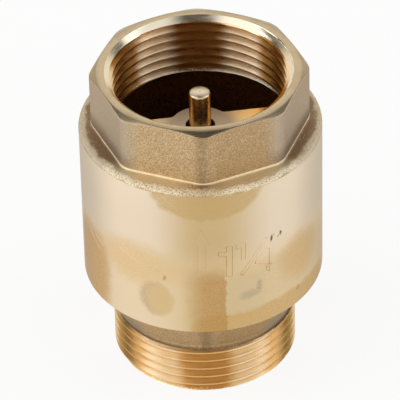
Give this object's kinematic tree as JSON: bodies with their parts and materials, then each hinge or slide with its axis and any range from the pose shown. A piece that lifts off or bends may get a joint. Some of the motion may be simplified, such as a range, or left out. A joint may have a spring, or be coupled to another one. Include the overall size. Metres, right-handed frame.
{
  "type": "brass check valve",
  "caption": "In-line spring check valve: octagonal internally threaded outlet, turned barrel, sprung disc on a guided stem, externally threaded inlet.",
  "frame": {"origin": "centre of the inlet end face, on which the valve stands", "axes": "+Z along the valve's axis in the direction of flow, from the inlet to the outlet; the bridge arms lie 8 degrees from X"},
  "size_m": [0.0546, 0.0546, 0.0761],
  "materials": {
    "cast_brass": "sand-cast and turned",
    "bright_brass": "bright turned",
    "rubber": "matt",
    "spring_steel": "drawn wire"
  },
  "bodies": {
    "housing": {"outlet_body": "cast_brass", "inlet_tail": "cast_brass", "joint_ring": "rubber", "return_spring": "spring_steel"},
    "poppet": {"valve_stem": "bright_brass", "valve_disc": "bright_brass", "seal_washer": "rubber", "clamp_washer": "bright_brass", "clamp_nut": "bright_brass"}
  },
  "joints": [
    {"name": "disc_lift", "type": "slide", "parent": "housing", "child": "poppet", "axis": [0, 0, 1], "range_m": [0, 0.007], "stiffness_N_per_m": 400, "springref_m": -0.005, "deforming": ["return_spring"]}
  ]
}
